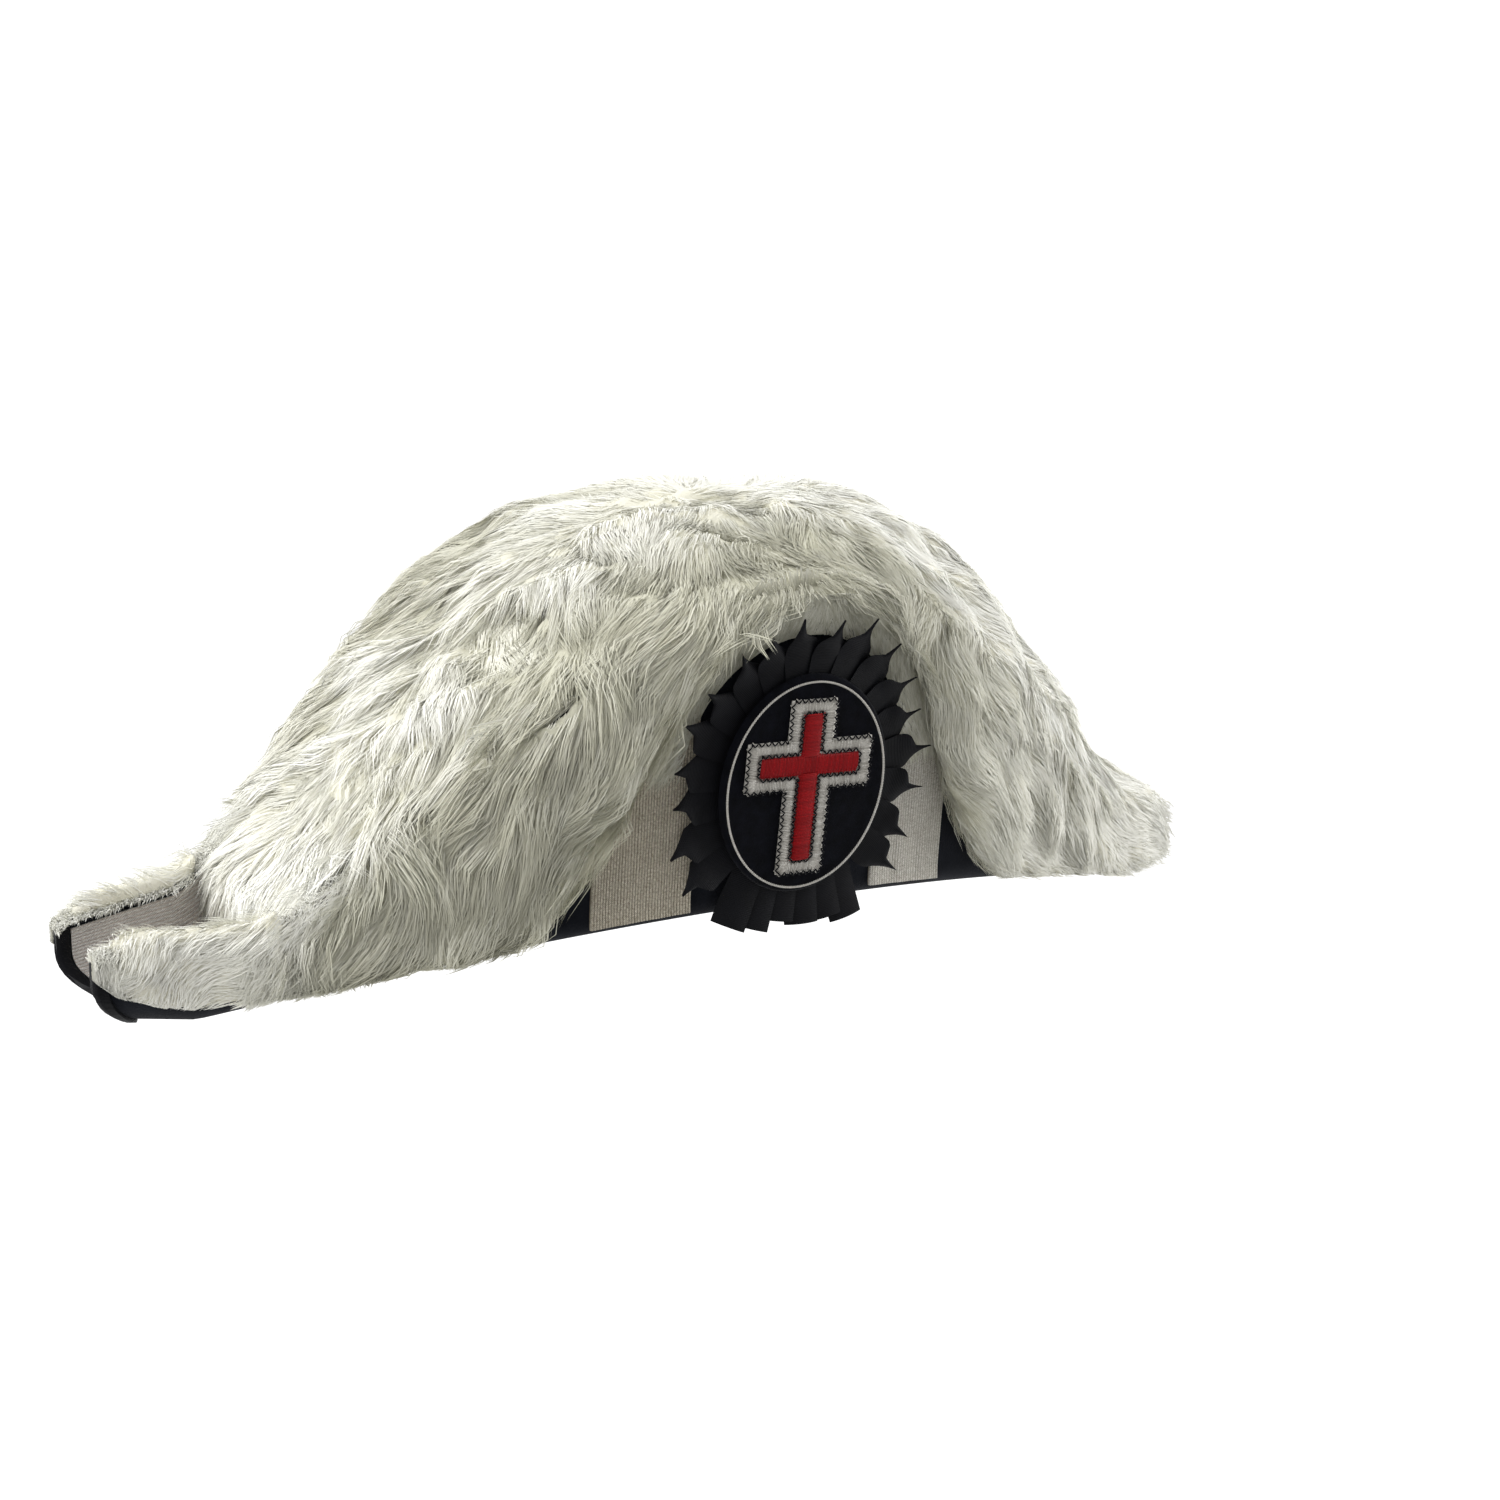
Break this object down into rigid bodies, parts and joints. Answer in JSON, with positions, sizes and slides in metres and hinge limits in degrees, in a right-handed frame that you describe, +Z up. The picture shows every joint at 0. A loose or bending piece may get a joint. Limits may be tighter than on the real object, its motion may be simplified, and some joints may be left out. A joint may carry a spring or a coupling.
{
  "type": "plumed hat",
  "caption": "Fore-and-aft dress hat with two upturned flaps, a white plume over its ridge, silver lace and a black rosette with a red cross.",
  "frame": {"origin": "centre of the overall box in plan, on the surface that the hat rests on", "axes": "+X runs from the front peak to the rear peak, -Y is the wearer's left with the rosette, +Z is up"},
  "size_m": [0.4664, 0.238, 0.1774],
  "materials": {
    "felt": "matte black felt",
    "ribbon": "ribbed black ribbon, slight sheen",
    "velvet": "black velvet",
    "lace": "woven silver lace with metal thread",
    "bullion": "silver bullion stitching",
    "red": "red satin stitching",
    "plume": "soft white plume"
  },
  "bodies": {
    "root": {"crown": "felt", "left_flap": "felt", "right_flap": "felt", "front_peak_floor": "felt", "rear_peak_floor": "felt", "front_binding": "ribbon", "front_peak_lace": "lace", "lace_strap_front": "lace", "lace_strap_rear": "lace", "rosette_pleats": "ribbon", "rosette_disc": "velvet", "rosette_cord": "bullion", "cross_border": "bullion", "cross_red": "red", "plume_drape": "plume", "plume_tip_left": "plume", "plume_tip_right": "plume"}
  },
  "joints": []
}
